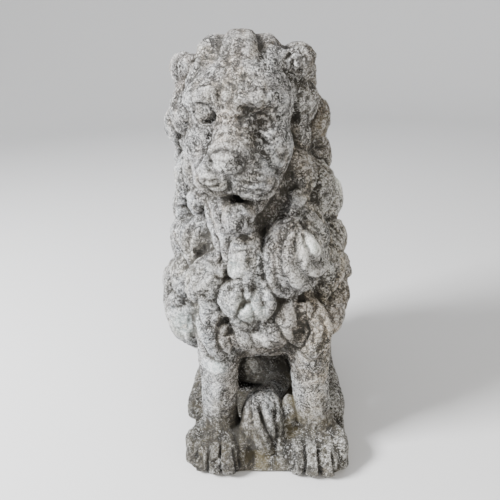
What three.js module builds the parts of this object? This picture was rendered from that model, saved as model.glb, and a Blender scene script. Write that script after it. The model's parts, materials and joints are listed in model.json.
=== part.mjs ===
// A seated lion, cast in stone in one piece with its low base: straight fore legs, a bulging mane of
// fluted locks, broad haunches, and the tail brought forward so that its tuft lies between the fore paws.
// Millimetres, +Z up, the lion looks along -Y, its own right side is at -X. Origin: middle of the underside.
//
// Its rounded masses are pressed together like clay, with a fillet at each join, and the surface of the
// whole is then laid out in triangles.
import * as THREE from 'three';
import { MarchingCubes } from 'three/addons/objects/MarchingCubes.js';
import { SimplifyModifier } from 'three/addons/modifiers/SimplifyModifier.js';
import { mergeVertices } from 'three/addons/utils/BufferGeometryUtils.js';

// Driving dimensions
const BASE = { width: 238, depth: 322, thick: 13, corner: 22, softened: 5, middle: [0, -2] };
const LEG = {
  front: -104,
  hoist: 205,
  ownRight: { knee: -70, ankle: -73 },
  ownLeft: { knee: 60, ankle: 69 },
};
const LEG_RADII = [34, 27, 26, 25];
const PAW = { tip: -167, height: 45, toe: 12.5, pad: [44, 38, 25] };
const HAUNCH = {
  middle: -8, spread: 68, y: 54, z: 70,
  width: 47, depth: 80, height: 66, lean: -18, splay: 6,
};
const HIND_FOOT = { middle: -6, spread: 104, toes: 3, pitch: 14, tip: -64, sole: [25, 30, 12] };
const HEAD = { x: -24, y: -70, z: 490, turn: -8, eyeRight: -33, eyeLeft: 28, earTilt: -8 };
const MANE_AXIS = { x: -10, y: -28 };
const SWIRL = { at: [42, -100, 322], radii: [42, 28, 56], turn: 24 };
const TUFT = { width: 68, lobes: 4, top: [-7, -86, 82], middle: [-8, -119, 58], tip: [-4, -144, 20] };

// The trunk behind the mane, the belly, the rump and the seat under it
const TRUNK = { line: [[-14, -2, 440], [-8, 34, 330], [-2, 78, 225], [0, 96, 140]], radii: [60, 72, 70, 66] };
const BELLY = { line: [[-2, -10, 215], [0, 34, 150], [0, 62, 60]], radii: [52, 55, 50] };
const RUMP = { at: [0, 84, 90], radii: [84, 74, 80] };
const SEAT = { at: [0, 98, 32], radii: [88, 56, 44] };

// The body of the mane under its locks, from the hem up to the crown: height, middle and half width
// across, front and back
const MANE = [
  { z: 150, x: -20, half: 110, front: -98, back: 108 },
  { z: 190, x: -20, half: 118, front: -116, back: 110 },
  { z: 250, x: -14, half: 117, front: -121, back: 104 },
  { z: 300, x: -17, half: 108, front: -117, back: 92 },
  { z: 345, x: -9, half: 96, front: -110, back: 80 },
  { z: 397, x: -10, half: 90, front: -98, back: 68 },
  { z: 443, x: -20, half: 84, front: -78, back: 58 },
  { z: 504, x: -21, half: 86, front: -66, back: 46 },
  { z: 540, x: -25, half: 71, front: -66, back: 34 },
  { z: 566, x: -23, half: 50, front: -56, back: 16 },
];

// Toes of the fore paws from the lion's own right to its own left: place across, how far the toe is set
// back, and its girth against the others
const TOES = [
  { x: -111, back: 16, girth: 0.86 },
  { x: -86, back: 3, girth: 1 },
  { x: -59, back: 0, girth: 1.08 },
  { x: -34, back: 13, girth: 0.95 },
  { x: 22, back: 10, girth: 0.72 },
  { x: 41, back: 2, girth: 0.95 },
  { x: 63, back: -3, girth: 1.05 },
  { x: 87, back: -2, girth: 1.02 },
  { x: 106, back: 13, girth: 0.82 },
];

// Locks of the chest and the shoulders. `route` runs from root to tip: angle round the mane, height.
const CHEST_LOCKS = [
  { name: 'beard', route: [[-10, 400], [-11, 384], [-11, 364]], width: 46, strands: 3, belly: 0.5 },
  { name: 'middle', route: [[-7, 380], [-8, 329], [-5, 282]], width: 58, strands: 3, belly: 0.62 },
  {
    name: 'below the middle, own right',
    route: [[-9, 305], [-16, 269], [-11, 231]],
    width: 54, strands: 3,
  },
  { name: 'below the middle, own left', route: [[0, 303], [4, 273], [1, 240]], width: 48, strands: 2 },
  {
    name: 'swirl, outer',
    route: [[29, 377], [16, 360], [11, 321], [17, 282], [32, 272]],
    width: 33, strands: 1,
  },
  {
    name: 'swirl, second',
    route: [[27, 366], [21, 343], [22, 314], [30, 292], [40, 290]],
    width: 30, strands: 1,
  },
  {
    name: 'swirl, third',
    route: [[31, 369], [28, 345], [31, 320], [40, 306], [48, 312]],
    width: 26, strands: 1,
  },
  { name: 'swirl, heart', route: [[33, 359], [36, 341], [39, 324]], width: 25, strands: 1, height: 0.5 },
  { name: 'over the swirl', route: [[28, 378], [42, 383], [54, 362], [56, 335]], width: 34, strands: 2 },
  { name: 'sweep of the neck', route: [[52, 408], [40, 392], [24, 366]], width: 32, strands: 2 },
  { name: 'side, own left', route: [[57, 322], [65, 292], [61, 250]], width: 56, strands: 3 },
  { name: 'side, own left, behind', route: [[78, 330], [80, 290], [76, 250]], width: 52, strands: 3 },
  { name: 'low side, own left', route: [[57, 262], [66, 234], [60, 200]], width: 54, strands: 3 },
  { name: 'low side, own left, behind', route: [[80, 262], [84, 232], [80, 196]], width: 54, strands: 3 },
  { name: 'knee, own left, inner', route: [[29, 272], [22, 238], [27, 200]], width: 42, strands: 2 },
  { name: 'knee, own left, outer', route: [[44, 258], [43, 221], [37, 182]], width: 42, strands: 2 },
  {
    name: 'leaf of the neck',
    route: [[-52, 398], [-39, 384], [-28, 348], [-26, 308]],
    width: 38, strands: 2,
  },
  { name: 'upper side, own right', route: [[-57, 366], [-62, 337], [-58, 306]], width: 48, strands: 3 },
  {
    name: 'upper side, own right, behind',
    route: [[-78, 372], [-80, 340], [-76, 306]],
    width: 50, strands: 3,
  },
  { name: 'round, own right', route: [[-29, 327], [-39, 290], [-50, 262]], width: 66, strands: 4 },
  { name: 'side, own right', route: [[-62, 318], [-68, 278], [-64, 242]], width: 52, strands: 3, sink: 4 },
  { name: 'low side, own right', route: [[-62, 264], [-71, 216], [-70, 152]], width: 64, strands: 3 },
  {
    name: 'low side, own right, behind',
    route: [[-80, 258], [-84, 224], [-80, 184]],
    width: 56, strands: 3,
  },
  { name: 'low, own right', route: [[-36, 276], [-36, 247], [-30, 218]], width: 42, strands: 2 },
  { name: 'knee, own right', route: [[-31, 244], [-33, 214], [-27, 182]], width: 44, strands: 3 },
  { name: 'hem, middle', route: [[-17, 234], [-12, 212], [-5, 190]], width: 44, strands: 3 },
  { name: 'hem, own left', route: [[3, 238], [10, 215], [20, 194]], width: 42, strands: 2 },
];

// Locks stacked on either side of the face
const FACE_LOCKS = [
  { name: 'temple, own left', route: [[66, 540], [74, 510], [70, 478]], width: 50, strands: 3 },
  { name: 'cheek, own left', route: [[62, 488], [68, 468], [64, 446]], width: 38, strands: 2, sink: 3 },
  { name: 'jaw, own left', route: [[47, 452], [56, 426], [51, 396]], width: 46, strands: 3 },
  { name: 'neck, own left', route: [[74, 434], [80, 402], [75, 364]], width: 50, strands: 3, sink: 3 },
  { name: 'temple, own right', route: [[-68, 534], [-74, 506], [-70, 468]], width: 50, strands: 3 },
  { name: 'cheek, own right', route: [[-66, 472], [-71, 456], [-67, 438]], width: 36, strands: 2 },
  { name: 'jaw, own right', route: [[-54, 448], [-63, 427], [-57, 402]], width: 46, strands: 3 },
  { name: 'neck, own right', route: [[-47, 409], [-59, 392], [-58, 370]], width: 40, strands: 3 },
  { name: 'nape, own right', route: [[-78, 452], [-82, 416], [-78, 374]], width: 48, strands: 3 },
];

// Rows of locks over the sides and the back: height of the roots, fall of each lock, and the angles
// between which they are set out
const BACK_ROWS = [
  { height: 560, drop: 60, from: 130, to: 246, count: 4 },
  { height: 512, drop: 62, from: 102, to: 262, count: 5 },
  { height: 462, drop: 66, from: 118, to: 256, count: 5 },
  { height: 408, drop: 70, from: 96, to: 264, count: 6 },
  { height: 350, drop: 74, from: 100, to: 260, count: 6 },
  { height: 290, drop: 76, from: 98, to: 262, count: 6 },
  { height: 232, drop: 54, from: 100, to: 260, count: 6 },
];
const BACK_LOCK = { width: 56, strands: 3, height: 0.44 };
const BACK_CURL = 9;

// Three tufts that stand up over the forehead and run back over the crown
const CROWN_TUFTS = [
  { line: [[-60, -86, 548], [-58, -72, 566], [-50, -34, 570], [-42, 6, 562]], width: 38, strands: 1 },
  { line: [[-23, -98, 548], [-22, -82, 567], [-22, -36, 573], [-22, 14, 560]], width: 50, strands: 2 },
  { line: [[14, -89, 547], [11, -72, 565], [6, -34, 570], [0, 8, 562]], width: 36, strands: 1 },
];

// Ears, rounded and cupped
const EARS = [
  { at: [-95, -45, 545], radii: [18, 15, 21], hollow: [-97, -62, 542] },
  { at: [44, -52, 551], radii: [24, 20, 24], hollow: [45, -74, 544] },
];

// Modelling grid and triangle budget
const SPAN = 640;
const CELLS = 160;
const TRIANGLES = 9600;
const GRID_TRIANGLES = 400000;
const FAR = 1e3;

const degrees = THREE.MathUtils.degToRad;
const lerp = THREE.MathUtils.lerp;
const vec = (x, y, z) => new THREE.Vector3(x, y, z);

// Joins two distances with a fillet of about the given size
function blended(a, b, fillet) {
  const overlap = Math.max(fillet - Math.abs(a - b), 0);
  return Math.min(a, b) - (overlap * overlap) / (4 * fillet);
}

// A block of clay: a grid of distances to the surface, negative inside
class Clay {
  constructor(span, cells) {
    this.cells = cells;
    this.step = span / cells;
    this.low = vec(-span / 2, -span / 2, -this.step * 4);
    this.field = new Float32Array(cells ** 3).fill(span);
  }

  // Visits the grid points in the shape's reach and lets `change` update their distances
  work(shape, margin, change) {
    const from = shape.reach.min.clone().subScalar(margin).sub(this.low).divideScalar(this.step).ceil();
    const to = shape.reach.max.clone().addScalar(margin).sub(this.low).divideScalar(this.step).floor();
    from.clampScalar(0, this.cells - 1);
    to.clampScalar(0, this.cells - 1);
    for (let k = from.z; k <= to.z; k++) {
      const z = this.low.z + k * this.step;
      for (let j = from.y; j <= to.y; j++) {
        const y = this.low.y + j * this.step;
        let index = (k * this.cells + j) * this.cells + from.x;
        for (let i = from.x; i <= to.x; i++, index++) {
          const x = this.low.x + i * this.step;
          this.field[index] = change(this.field[index], shape.distance(x, y, z));
        }
      }
    }
  }

  add(shape, fillet = 6) {
    this.work(shape, fillet + 2 * this.step, (old, d) => blended(old, d, fillet));
  }

  cut(shape, fillet = 4) {
    this.work(shape, fillet + 2 * this.step, (old, d) => -blended(-old, d, fillet));
  }

  // Distance at any point, between the grid's own points
  at(p) {
    const g = p.clone().sub(this.low).divideScalar(this.step);
    const [i, j, k] = [Math.floor(g.x), Math.floor(g.y), Math.floor(g.z)];
    const [u, v, w] = [g.x - i, g.y - j, g.z - k];
    const value = (a, b, c) => this.field[((k + c) * this.cells + j + b) * this.cells + i + a];
    const edge = (b, c) => lerp(value(0, b, c), value(1, b, c), u);
    return lerp(lerp(edge(0, 0), edge(1, 0), v), lerp(edge(0, 1), edge(1, 1), v), w);
  }

  // First point of the surface met when coming from `start` along `heading`
  meet(start, heading, reach) {
    const stride = this.step / 2;
    for (let s = 0; s < reach; s += stride) {
      const p = start.clone().addScaledVector(heading, s);
      const d = this.at(p);
      if (d < 0) return p.addScaledVector(heading, d);
    }
    return start.clone().addScaledVector(heading, reach);
  }

  // Direction away from the clay at a point
  outward(p) {
    const h = this.step;
    const beside = (axis, shift) => this.at(p.clone().addScaledVector(axis, shift));
    const slope = (axis) => beside(axis, h) - beside(axis, -h);
    return vec(slope(vec(1, 0, 0)), slope(vec(0, 1, 0)), slope(vec(0, 0, 1))).normalize();
  }

  // Marks every grid point that can be walked to from `start` on the same side of the surface
  walk(start) {
    const n = this.cells;
    const inside = this.field[start] < 0;
    const seen = new Uint8Array(this.field.length);
    const queue = [start];
    seen[start] = 1;
    const visit = (index) => {
      if (seen[index] || this.field[index] < 0 !== inside) return;
      seen[index] = 1;
      queue.push(index);
    };
    while (queue.length) {
      const index = queue.pop();
      const i = index % n;
      const j = Math.floor(index / n) % n;
      const k = Math.floor(index / (n * n));
      if (i > 0) visit(index - 1);
      if (i < n - 1) visit(index + 1);
      if (j > 0) visit(index - n);
      if (j < n - 1) visit(index + n);
      if (k > 0) visit(index - n * n);
      if (k < n - 1) visit(index + n * n);
    }
    return seen;
  }

  // Fills every hollow that has no way out, and takes off every crumb that hangs free
  settle(core) {
    const open = this.walk(0);
    const g = core.clone().sub(this.low).divideScalar(this.step).round();
    const solid = this.walk((g.z * this.cells + g.y) * this.cells + g.x);
    const thin = this.step / 4;
    this.field.forEach((d, index) => {
      if (d >= 0 && !open[index]) this.field[index] = -thin;
      if (d < 0 && !solid[index]) this.field[index] = thin;
    });
  }

  // The surface as a closed triangle mesh
  mesh() {
    const cubes = new MarchingCubes(this.cells, new THREE.MeshBasicMaterial(), false, false, GRID_TRIANGLES);
    cubes.isolation = 0;
    this.field.forEach((d, index) => (cubes.field[index] = -d || -1e-6));
    cubes.update();
    const corners = cubes.positionArray.slice(0, cubes.count * 3);
    const surface = new THREE.BufferGeometry();
    surface.setAttribute('position', new THREE.BufferAttribute(corners, 3));
    const half = (this.cells / 2) * this.step;
    surface.translate(1, 1, 1).scale(half, half, half).translate(this.low.x, this.low.y, this.low.z);
    return mergeVertices(surface, 1e-3);
  }
}

// An egg-shaped mass
function ball(at, radii, turn = [0, 0, 0]) {
  const [cx, cy, cz] = at;
  const [rx, ry, rz] = radii;
  const spin = new THREE.Matrix4().makeRotationFromEuler(new THREE.Euler(...turn.map(degrees)));
  const e = spin.clone().transpose().elements;
  const half = Math.max(rx, ry, rz);
  const reach = new THREE.Box3(vec(cx - half, cy - half, cz - half), vec(cx + half, cy + half, cz + half));
  const distance = (x, y, z) => {
    const [dx, dy, dz] = [x - cx, y - cy, z - cz];
    const px = (e[0] * dx + e[4] * dy + e[8] * dz) / rx;
    const py = (e[1] * dx + e[5] * dy + e[9] * dz) / ry;
    const pz = (e[2] * dx + e[6] * dy + e[10] * dz) / rz;
    const k = Math.hypot(px, py, pz);
    const slope = Math.hypot(px / rx, py / ry, pz / rz);
    return slope < 1e-9 ? -Math.min(rx, ry, rz) : (k * (k - 1)) / slope;
  };
  return { reach, distance };
}

// A round bar through the points, with a radius at each of them
function limb(points, radii, steps = 10) {
  const curve = new THREE.CatmullRomCurve3(points.map((p) => (p.isVector3 ? p : vec(...p))));
  const route = [];
  for (let s = 0; s <= steps; s++) {
    const t = s / steps;
    const along = t * (radii.length - 1);
    const i = Math.min(Math.floor(along), radii.length - 2);
    const p = curve.getPoint(t);
    route.push([p.x, p.y, p.z, lerp(radii[i], radii[i + 1], along - i)]);
  }
  const reach = new THREE.Box3();
  route.forEach(([x, y, z, r]) => {
    reach.expandByPoint(vec(x - r, y - r, z - r));
    reach.expandByPoint(vec(x + r, y + r, z + r));
  });
  const distance = (x, y, z) => {
    let best = Infinity;
    for (let s = 0; s < steps; s++) {
      const [ax, ay, az, ar] = route[s];
      const [bx, by, bz, br] = route[s + 1];
      const [ux, uy, uz] = [bx - ax, by - ay, bz - az];
      const length2 = ux * ux + uy * uy + uz * uz;
      const share = ((x - ax) * ux + (y - ay) * uy + (z - az) * uz) / length2;
      const t = Math.min(Math.max(share, 0), 1);
      const d = Math.hypot(x - ax - ux * t, y - ay - uy * t, z - az - uz * t) - lerp(ar, br, t);
      if (d < best) best = d;
    }
    return best;
  };
  return { reach, distance };
}

// A slab with rounded corners and a softened top edge
function slab({ width, depth, thick, corner, softened, middle }) {
  const [mx, my] = middle;
  const reach = new THREE.Box3(
    vec(mx - width / 2, my - depth / 2, -10),
    vec(mx + width / 2, my + depth / 2, thick),
  );
  const distance = (x, y, z) => {
    const qx = Math.abs(x - mx) - width / 2 + corner;
    const qy = Math.abs(y - my) - depth / 2 + corner;
    const side = Math.hypot(Math.max(qx, 0), Math.max(qy, 0)) + Math.min(Math.max(qx, qy), 0) - corner;
    return -blended(-side, -(z - thick), softened);
  };
  return { reach, distance };
}

// An upright form through a list of rings, each with a height, a middle and half width, a front and a back
function tower(rings) {
  const [low, high] = [rings[0].z, rings.at(-1).z];
  const widest = Math.max(...rings.map((ring) => ring.half + Math.abs(ring.x)));
  const front = Math.min(...rings.map((ring) => ring.front));
  const back = Math.max(...rings.map((ring) => ring.back));
  const reach = new THREE.Box3(vec(-widest, front, low), vec(widest, back, high));
  const distance = (x, y, z) => {
    const height = Math.min(Math.max(z, low), high);
    const n = Math.min(rings.findIndex((ring) => ring.z >= height) || 1, rings.length - 1);
    const [a, b] = [rings[n - 1], rings[n]];
    const t = (height - a.z) / (b.z - a.z);
    const half = lerp(a.half, b.half, t);
    const [near, far] = [lerp(a.front, b.front, t), lerp(a.back, b.back, t)];
    const deep = (far - near) / 2;
    const k = Math.hypot((x - lerp(a.x, b.x, t)) / half, (y - (near + far) / 2) / deep);
    const side = (k - 1) * Math.min(half, deep);
    return -blended(-side, -Math.max(low - z, z - high), 20);
  };
  return { reach, distance };
}

// How full a lock is along its length, fullest at the share `belly`
const swell = (t, belly) => Math.sin(Math.PI * t ** (Math.log(0.5) / Math.log(belly)));

// A lock of hair: a bulging leaf that lies along a line, with flutes that part its strands.
// `outs` are the directions away from the body at its root and at its tip.
function lock(spine, outs, { width, strands = 3, belly = 0.55, height = 0.46, end = 0.34, flute = 0.24 }) {
  const curve = new THREE.CatmullRomCurve3(spine);
  const steps = 4 * (spine.length - 1);
  const reach = new THREE.Box3();
  const route = Array.from({ length: steps + 1 }, (_, s) => {
    const t = s / steps;
    const at = curve.getPoint(t);
    const along = curve.getTangent(t);
    const side = along.clone().cross(outs[0].clone().lerp(outs[1], t)).normalize();
    const half = (width / 2) * lerp(end, 1, Math.max(swell(t, belly), 0));
    reach.union(new THREE.Box3().setFromCenterAndSize(at, vec(width, width, width)));
    return { at, side, up: side.clone().cross(along).normalize(), half };
  });
  const distance = (x, y, z) => {
    let best = FAR;
    for (let s = 0; s < steps; s++) {
      const [a, b] = [route[s], route[s + 1]];
      const [ux, uy, uz] = [b.at.x - a.at.x, b.at.y - a.at.y, b.at.z - a.at.z];
      const [px, py, pz] = [x - a.at.x, y - a.at.y, z - a.at.z];
      const length2 = ux * ux + uy * uy + uz * uz;
      const t = Math.min(Math.max((px * ux + py * uy + pz * uz) / length2, 0), 1);
      const [dx, dy, dz] = [px - ux * t, py - uy * t, pz - uz * t];
      const half = lerp(a.half, b.half, t);
      const tall = half * 2 * height;
      const across = dx * a.side.x + dy * a.side.y + dz * a.side.z;
      const above = dx * a.up.x + dy * a.up.y + dz * a.up.z;
      const rest = Math.sqrt(Math.max(dx * dx + dy * dy + dz * dz - across * across - above * above, 0));
      const k = Math.hypot(across / half, above / tall, rest / tall);
      const slope = Math.hypot(across / (half * half), above / (tall * tall), rest / (tall * tall));
      const strand = Math.abs(Math.sin((Math.PI * strands * (Math.min(Math.abs(across / half), 1) + 1)) / 2));
      const groove = above > 0 ? (1 - strand) * ((2 * half) / strands) * flute : 0;
      const d = (slope < 1e-9 ? -tall : (k * (k - 1)) / slope) + groove;
      if (d < best) best = d;
    }
    return best;
  };
  return { reach, distance };
}

// The largest of the pieces in a mesh, without the slivers that thinning can pinch off beside it.
// Triangles belong together where they share an edge.
function mainPiece(mesh) {
  const corners = [...mesh.index.array];
  const parent = corners.map((_, n) => n);
  const root = (n) => {
    while (parent[n] !== n) n = parent[n] = parent[parent[n]];
    return n;
  };
  const edges = new Map();
  corners.forEach((from, c) => {
    const triangle = c - (c % 3);
    const to = corners[triangle + ((c + 1) % 3)];
    const key = `${Math.min(from, to)} ${Math.max(from, to)}`;
    if (edges.has(key)) parent[root(triangle)] = root(edges.get(key));
    edges.set(key, triangle);
  });
  const owner = corners.map((_, c) => root(c - (c % 3)));
  const sizes = new Map();
  owner.forEach((piece) => sizes.set(piece, (sizes.get(piece) ?? 0) + 1));
  const [main] = [...sizes].reduce((a, b) => (a[1] > b[1] ? a : b));
  mesh.setIndex(corners.filter((_, c) => owner[c] === main));
  return mesh;
}

const clay = new Clay(SPAN, CELLS);
const bothSides = (make) => [-1, 1].forEach(make);

function buildBody() {
  clay.add(tower(MANE), 8);
  clay.add(limb(TRUNK.line, TRUNK.radii), 24);
  clay.add(ball(RUMP.at, RUMP.radii), 30);
  clay.add(ball(SEAT.at, SEAT.radii), 16);
  clay.add(limb(BELLY.line, BELLY.radii), 24);
  clay.add(ball(SWIRL.at, SWIRL.radii, [0, 0, SWIRL.turn]), 6);
}

function buildHindquarters() {
  const { middle, spread, y, z, width, depth, height, lean, splay } = HAUNCH;
  const { toes, pitch, tip, sole } = HIND_FOOT;
  bothSides((side) => {
    const hip = middle + side * spread;
    const foot = HIND_FOOT.middle + side * HIND_FOOT.spread;
    clay.add(ball([hip, y, z], [width, depth, height], [lean, 0, side * splay]), 12);
    clay.add(limb([[hip + side * 14, y + 30, 30], [foot, 10, 28], [foot, -44, 27]], [26, 22, 19]), 8);
    for (let n = 0; n < toes; n++) {
      const x = foot + (n - (toes - 1) / 2) * pitch;
      clay.add(limb([[x, tip + 36, 30], [x, tip + 14, 27], [x, tip, 19]], [10, 10.5, 8.5]), 2.5);
    }
    clay.add(ball([foot, tip + 26, 14], sole), 4);
  });
}

function buildForelegs() {
  const y = LEG.front;
  [LEG.ownRight, LEG.ownLeft].forEach(({ knee, ankle }) => {
    const shin = (knee + ankle) / 2;
    const line = [[knee * 0.95, y + 18, LEG.hoist], [knee, y + 2, 140], [shin, y, 90], [ankle, y - 2, 30]];
    clay.add(limb(line, LEG_RADII), 10);
    clay.add(ball([ankle * 1.02, y - 16, 26], PAW.pad), 10);
  });
  TOES.forEach(({ x, back, girth }) => {
    const { ankle } = x < 0 ? LEG.ownRight : LEG.ownLeft;
    const tip = PAW.tip + back;
    const radius = PAW.toe * girth;
    const top = PAW.height - radius;
    const heel = [lerp(ankle, x, 0.72), tip + 44, top + 4];
    const line = [heel, [x, tip + 18, top + 3], [x, tip + 3, top - 4], [x, tip + 1, 12]];
    clay.add(limb(line, [radius * 0.9, radius, radius, radius * 0.78]), 2.5);
  });
}

function buildTail() {
  const [x, y, z] = TUFT.top;
  clay.add(limb([[30, 40, 30], [20, 0, 38], [6, -46, 50], [x, y + 4, z - 16]], [22, 21, 19, 17]), 6);
  clay.add(ball([TUFT.tip[0], TUFT.tip[1] + 20, 14], [24, 24, 12]), 4);
  const spine = [TUFT.top, TUFT.middle, TUFT.tip].map((p) => vec(...p));
  const face = vec(0, -0.75, 0.66);
  const shape = { width: TUFT.width, strands: TUFT.lobes, belly: 0.45, height: 0.42, end: 0.36 };
  clay.add(lock(spine, [face, face], shape), 8);
}

// The head's own frame: x across, y backwards, z up, about a point between the ears and the jaw
function buildHead() {
  const place = new THREE.Matrix4().makeRotationZ(degrees(HEAD.turn)).setPosition(HEAD.x, HEAD.y, HEAD.z);
  const put = (p) => vec(...p).applyMatrix4(place).toArray();
  const mass = (at, radii) => ball(put(at), radii, [0, 0, HEAD.turn]);
  const bar = (points, radii) => limb(points.map(put), radii);

  // skull, forehead, jaw, cheeks and brows
  clay.add(mass([0, 6, 22], [66, 60, 58]), 14);
  clay.add(mass([0, -20, 34], [58, 40, 40]), 14);
  clay.add(mass([0, -14, -62], [50, 44, 44]), 14);
  bothSides((side) => {
    clay.add(mass([side * 36, -22, -28], [30, 34, 40]), 12);
    clay.add(bar([[side * 9, -55, 29], [side * 30, -53, 33], [side * 55, -34, 25]], [9, 10, 9]), 8);
  });

  // eyes
  [HEAD.eyeRight, HEAD.eyeLeft].forEach((x) => {
    clay.cut(mass([x * 0.86, -60, 9], [15, 17, 11]), 6);
    clay.add(mass([x, -42, 13], [12, 11, 10.5]), 2);
  });

  // bridge of the nose, muzzle, nose, chin and mouth
  clay.add(bar([[0, -38, 20], [0, -53, -6], [0, -74, -30]], [17, 19, 22]), 8);
  clay.add(mass([0, -48, -48], [50, 32, 32]), 10);
  bothSides((side) => clay.add(mass([side * 22, -62, -52], [27, 25, 25]), 4));
  clay.add(mass([0, -80, -22], [23, 14, 12]), 3);
  clay.add(mass([0, -36, -98], [32, 24, 16]), 5);
  clay.cut(bar([[-30, -62, -72], [0, -80, -79], [30, -62, -72]], [4, 4, 4]), 3);
  clay.cut(mass([6, -62, -84], [13, 20, 7]), 4);
}

// Point of the mane or the head at an angle round the mane's axis and a height.
// The angle 0 is straight ahead, and it grows towards the lion's own left.
function manePoint(angle, height) {
  const heading = vec(Math.sin(degrees(angle)), -Math.cos(degrees(angle)), 0);
  const reach = 190;
  const start = vec(MANE_AXIS.x, MANE_AXIS.y, height).addScaledVector(heading, reach);
  return clay.meet(start, heading.negate(), reach);
}

// A lock laid on the surface, its root sunk so that it grows out of the lock above
function laidLock({ route, sink = 0, ...shape }) {
  const spots = route.map(([angle, height]) => manePoint(angle, height));
  const outs = spots.map((p) => clay.outward(p));
  const depth = (n) => sink + (n === 0 ? shape.width * 0.2 : 0);
  const spine = spots.map((p, n) => p.addScaledVector(outs[n], -depth(n)));
  return lock(spine, [outs[0], outs.at(-1)], shape);
}

// Each row is staggered against the last, and its locks curl by turns to either side
function backLocks() {
  return BACK_ROWS.flatMap(({ height, drop, from, to, count }, row) =>
    Array.from({ length: count }, (_, n) => {
      const angle = lerp(from, to, n / (count - 1));
      const curl = (row % 2 ? BACK_CURL : -BACK_CURL) * (n % 2 ? 1 : 0.6);
      const bend = [angle + curl, height - drop / 2];
      return { route: [[angle, height], bend, [angle + curl * 0.3, height - drop]], ...BACK_LOCK };
    }),
  );
}

function crownLocks() {
  const [front, top] = [vec(0, -0.9, 0.4), vec(0, 0, 1)];
  const full = { belly: 0.4, height: 0.36, end: 0.7, flute: 0.16 };
  return CROWN_TUFTS.map(({ line, ...shape }) =>
    lock(line.map((p) => vec(...p)), [front, top], { ...full, ...shape }),
  );
}

function buildMane() {
  const locks = [...backLocks(), ...CHEST_LOCKS, ...FACE_LOCKS].map(laidLock);
  [...locks, ...crownLocks()].forEach((shape) => clay.add(shape, 3));
}

function buildEars() {
  EARS.forEach(({ at, radii, hollow }) => {
    clay.add(ball(at, radii, [0, 0, HEAD.earTilt]), 6);
    clay.cut(ball(hollow, radii.map((r) => r * 0.4)), 5);
  });
}

// The low base, cut off flat underneath together with the feet
function buildBase() {
  clay.add(slab(BASE), 4);
  const below = new THREE.Box3(vec(-BASE.width, -BASE.depth, -SPAN), vec(BASE.width, BASE.depth, 0));
  clay.cut({ reach: below, distance: (x, y, z) => z }, 0.01);
}

buildBody();
buildHindquarters();
buildForelegs();
buildTail();
buildHead();
buildMane();
buildEars();
buildBase();
clay.settle(vec(...RUMP.at));

const surface = clay.mesh();
surface.deleteAttribute('normal');
const surplus = surface.attributes.position.count - TRIANGLES / 2;
const geometry = mainPiece(await new SimplifyModifier().modify(surface, surplus));
const stone = new THREE.MeshStandardMaterial({ color: 0xa9a59c, roughness: 0.92, metalness: 0 });
const lion = new THREE.Mesh(geometry, stone);
lion.name = 'lion';

const statue = new THREE.Group();
statue.add(lion);
export default statue;
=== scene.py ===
import json
import math

import bpy
import numpy as np
from mathutils import Matrix, Vector
from mathutils.bvhtree import BVHTree

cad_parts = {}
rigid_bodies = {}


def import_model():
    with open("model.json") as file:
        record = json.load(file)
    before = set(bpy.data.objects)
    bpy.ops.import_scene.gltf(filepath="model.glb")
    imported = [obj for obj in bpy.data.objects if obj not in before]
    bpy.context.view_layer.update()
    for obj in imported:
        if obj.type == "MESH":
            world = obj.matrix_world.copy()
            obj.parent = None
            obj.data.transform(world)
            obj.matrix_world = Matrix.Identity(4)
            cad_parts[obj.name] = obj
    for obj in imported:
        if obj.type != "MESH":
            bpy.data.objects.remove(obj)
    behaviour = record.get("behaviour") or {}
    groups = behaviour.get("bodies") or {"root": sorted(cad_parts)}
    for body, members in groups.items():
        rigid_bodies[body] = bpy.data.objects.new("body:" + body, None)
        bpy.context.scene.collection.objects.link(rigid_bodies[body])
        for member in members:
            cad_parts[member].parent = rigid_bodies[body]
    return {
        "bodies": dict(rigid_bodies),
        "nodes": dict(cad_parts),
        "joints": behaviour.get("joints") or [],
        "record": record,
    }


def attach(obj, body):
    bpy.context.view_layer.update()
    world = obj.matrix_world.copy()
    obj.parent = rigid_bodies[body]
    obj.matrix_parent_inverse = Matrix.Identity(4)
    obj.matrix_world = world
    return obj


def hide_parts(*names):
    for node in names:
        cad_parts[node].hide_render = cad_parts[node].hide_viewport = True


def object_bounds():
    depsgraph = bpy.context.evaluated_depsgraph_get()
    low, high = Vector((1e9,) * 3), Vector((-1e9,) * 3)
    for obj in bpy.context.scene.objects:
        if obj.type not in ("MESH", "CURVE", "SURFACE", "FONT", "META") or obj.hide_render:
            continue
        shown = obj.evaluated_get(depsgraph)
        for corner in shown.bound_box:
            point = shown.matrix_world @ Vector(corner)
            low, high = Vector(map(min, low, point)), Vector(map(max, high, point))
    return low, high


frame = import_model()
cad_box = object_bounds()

# Sizes in millimetres unless a name says otherwise
MM = 0.001
SKIN = 2.0
TRIANGLES = 196000
HEAD_AT = (-24, -70, 490)
HEAD_TURN = -8
MANE_AXIS = (-10, -28)
REACH = 190
PAW_TIP = -167
TOE_HEIGHT = 45
TOE_RADIUS = 13.5

low, high = cad_box
height = high.z - low.z


# Working by hand
def only(piece):
    """Makes this the one selected and active object."""
    if bpy.context.object and bpy.context.object.mode != "OBJECT":
        bpy.ops.object.mode_set(mode="OBJECT")
    bpy.ops.object.select_all(action="DESELECT")
    piece.select_set(True)
    bpy.context.view_layer.objects.active = piece


def apply(piece, kind, **settings):
    """Adds a modifier with these settings and applies it."""
    only(piece)
    modifier = piece.modifiers.new(kind.title(), kind)
    for name, value in settings.items():
        setattr(modifier, name, value)
    bpy.ops.object.modifier_apply(modifier=modifier.name)


def melt(piece, voxel):
    """Joins all that overlaps in the piece into one skin."""
    only(piece)
    piece.data.remesh_voxel_size = voxel * MM
    bpy.ops.object.voxel_remesh()


HEAD = (
    Matrix.Translation(Vector(HEAD_AT) * MM)
    @ Matrix.Rotation(math.radians(HEAD_TURN), 4, "Z")
)


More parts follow.
